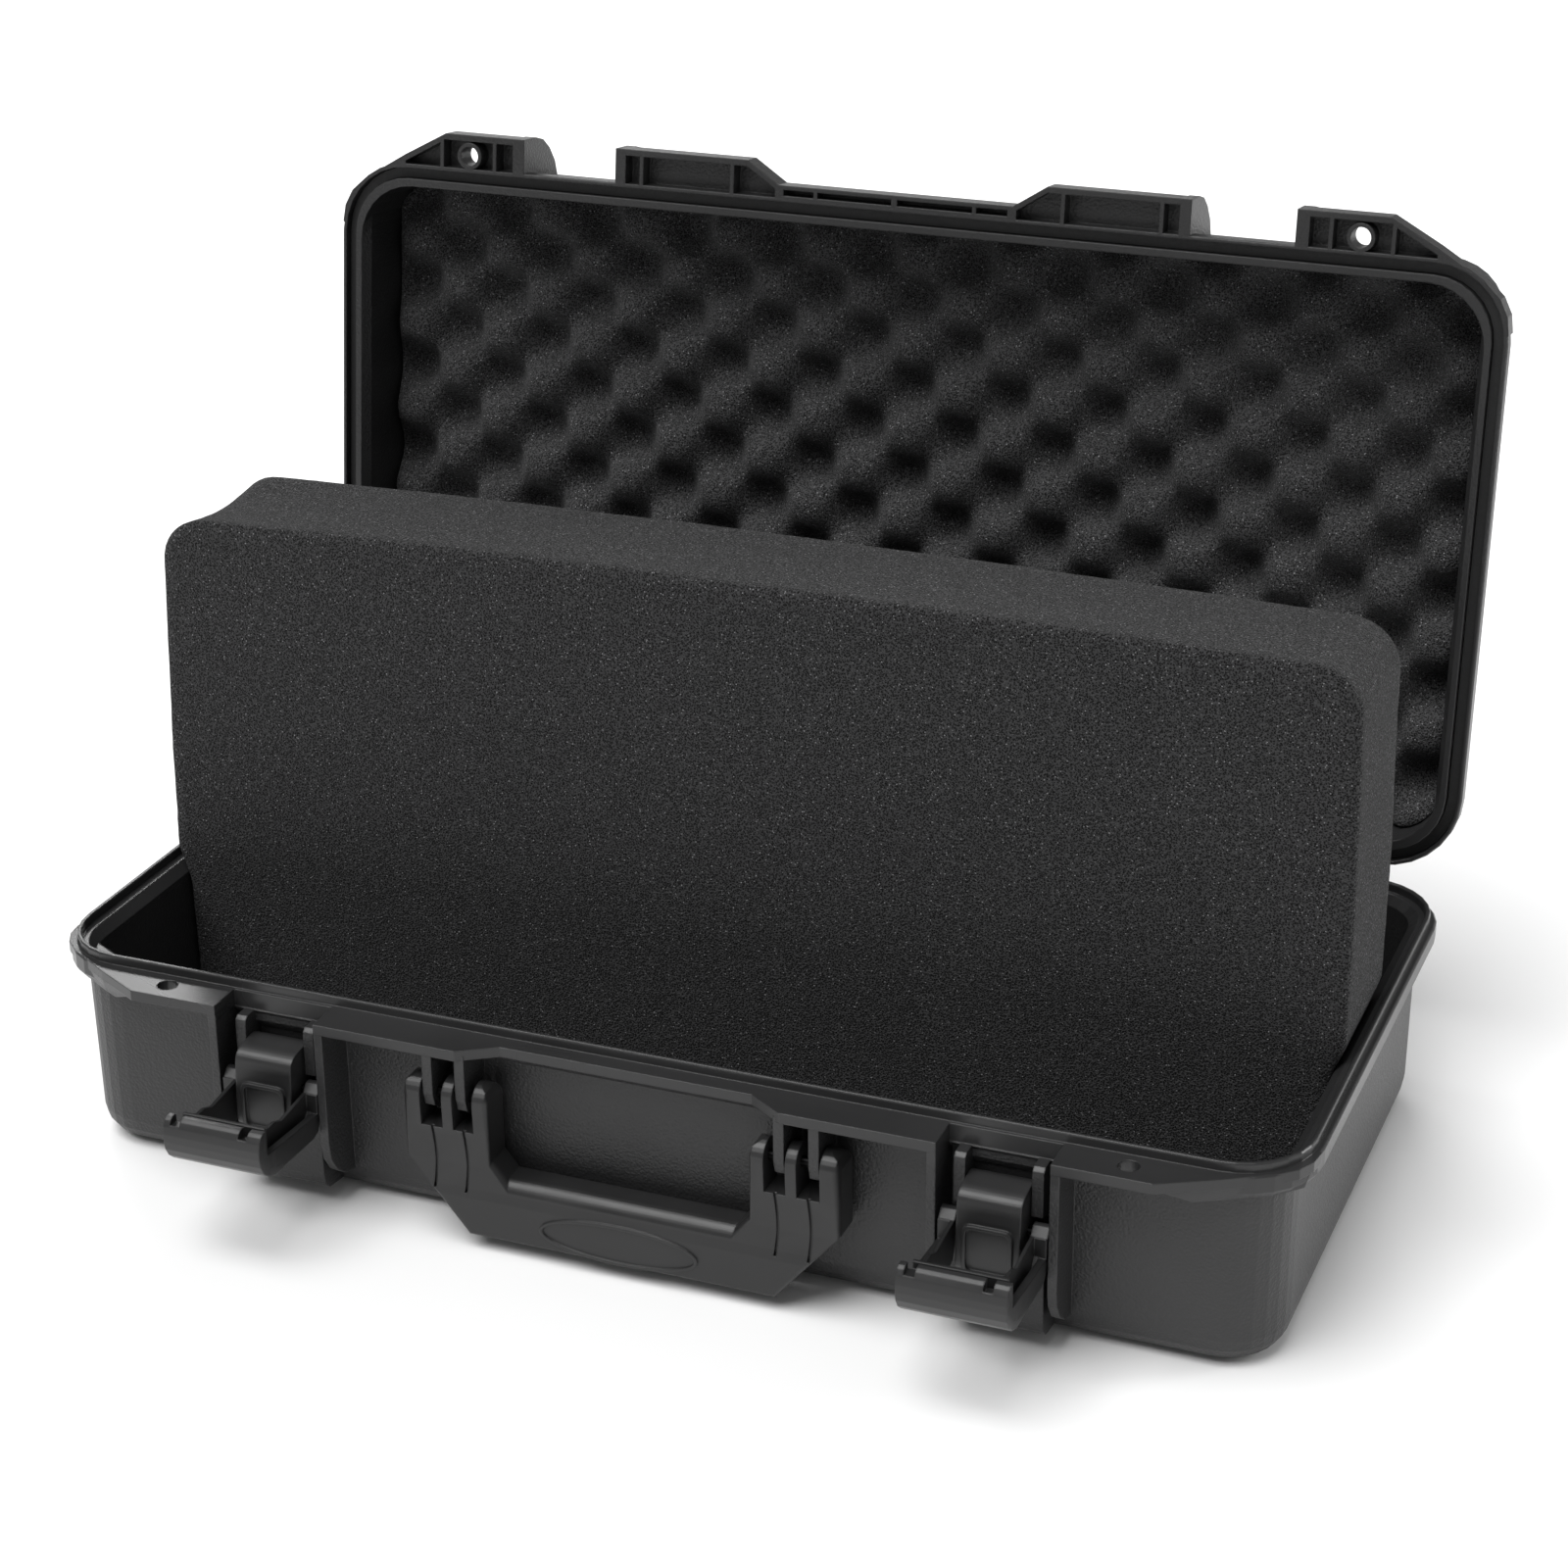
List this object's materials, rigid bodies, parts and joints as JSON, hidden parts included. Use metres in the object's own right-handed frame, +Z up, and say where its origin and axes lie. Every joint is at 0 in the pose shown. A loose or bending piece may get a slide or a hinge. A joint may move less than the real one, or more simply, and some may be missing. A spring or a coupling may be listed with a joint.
{
  "type": "hard equipment case",
  "caption": "Long black moulded equipment case standing open, with a wavy lid foam, a foam block on edge in the base, draw latches and a folding carry handle.",
  "frame": {"origin": "centre of the base's flat underside, on the floor", "axes": "+X along the case's width, to the right seen from the handle; -Y out of the front with the handle and latches; +Z up"},
  "size_m": [0.5, 0.3836, 0.3448],
  "materials": {
    "case_plastic": "black moulded polypropylene with a fine leather grain",
    "latch_plastic": "black nylon, a little smoother and glossier than the shells",
    "gasket_rubber": "black matt rubber cord",
    "pin_steel": "plain ground steel",
    "foam": "charcoal open-cell polyurethane foam, fully matt and speckled"
  },
  "bodies": {
    "base": {"base_shell": "case_plastic", "bottom_pad": "foam", "hinge_pin_left": "pin_steel", "hinge_pin_centre": "pin_steel", "hinge_pin_right": "pin_steel", "handle_pin_left": "pin_steel", "handle_pin_right": "pin_steel", "lever_pin_left": "pin_steel", "lever_pin_right": "pin_steel"},
    "lid": {"lid_shell": "case_plastic", "lid_gasket": "gasket_rubber", "lid_foam": "foam"},
    "block": {"foam_block": "foam"},
    "handle": {"handle": "latch_plastic"},
    "lever_left": {"latch_lever_left": "latch_plastic", "bail_pin_left": "pin_steel"},
    "lever_right": {"latch_lever_right": "latch_plastic", "bail_pin_right": "pin_steel"},
    "bail_left": {"latch_bail_left": "latch_plastic"},
    "bail_right": {"latch_bail_right": "latch_plastic"}
  },
  "joints": [
    {"name": "lid_hinge", "type": "hinge", "parent": "base", "child": "lid", "pos_m": [0, 0.1265, 0.0842], "axis": [1, 0, 0], "range_deg": [0, 97.2]},
    {"name": "block_tip", "type": "hinge", "parent": "base", "child": "block", "pos_m": [0, 0.04085, 0.08165], "axis": [1, 0, 0], "range_deg": [0, 90], "deforming": ["foam_block"]},
    {"name": "handle_swing", "type": "hinge", "parent": "base", "child": "handle", "pos_m": [0, -0.1295, 0.0607], "axis": [-1, 0, 0], "range_deg": [0, 95]},
    {"name": "lever_left_swing", "type": "hinge", "parent": "base", "child": "lever_left", "pos_m": [-0.1437, -0.1256, 0.0602], "axis": [1, 0, 0], "range_deg": [-70, 0]},
    {"name": "lever_right_swing", "type": "hinge", "parent": "base", "child": "lever_right", "pos_m": [0.1437, -0.1256, 0.0602], "axis": [1, 0, 0], "range_deg": [-70, 0]},
    {"name": "bail_left_swing", "type": "hinge", "parent": "lever_left", "child": "bail_left", "pos_m": [-0.1437, -0.1308, 0.0507], "axis": [-1, 0, 0], "range_deg": [0, 96]},
    {"name": "bail_right_swing", "type": "hinge", "parent": "lever_right", "child": "bail_right", "pos_m": [0.1437, -0.1308, 0.0507], "axis": [-1, 0, 0], "range_deg": [0, 96]}
  ],
  "couplings": [
    {"joint": "block_tip", "follows": "lid_hinge", "ratio": 0.9259}
  ]
}
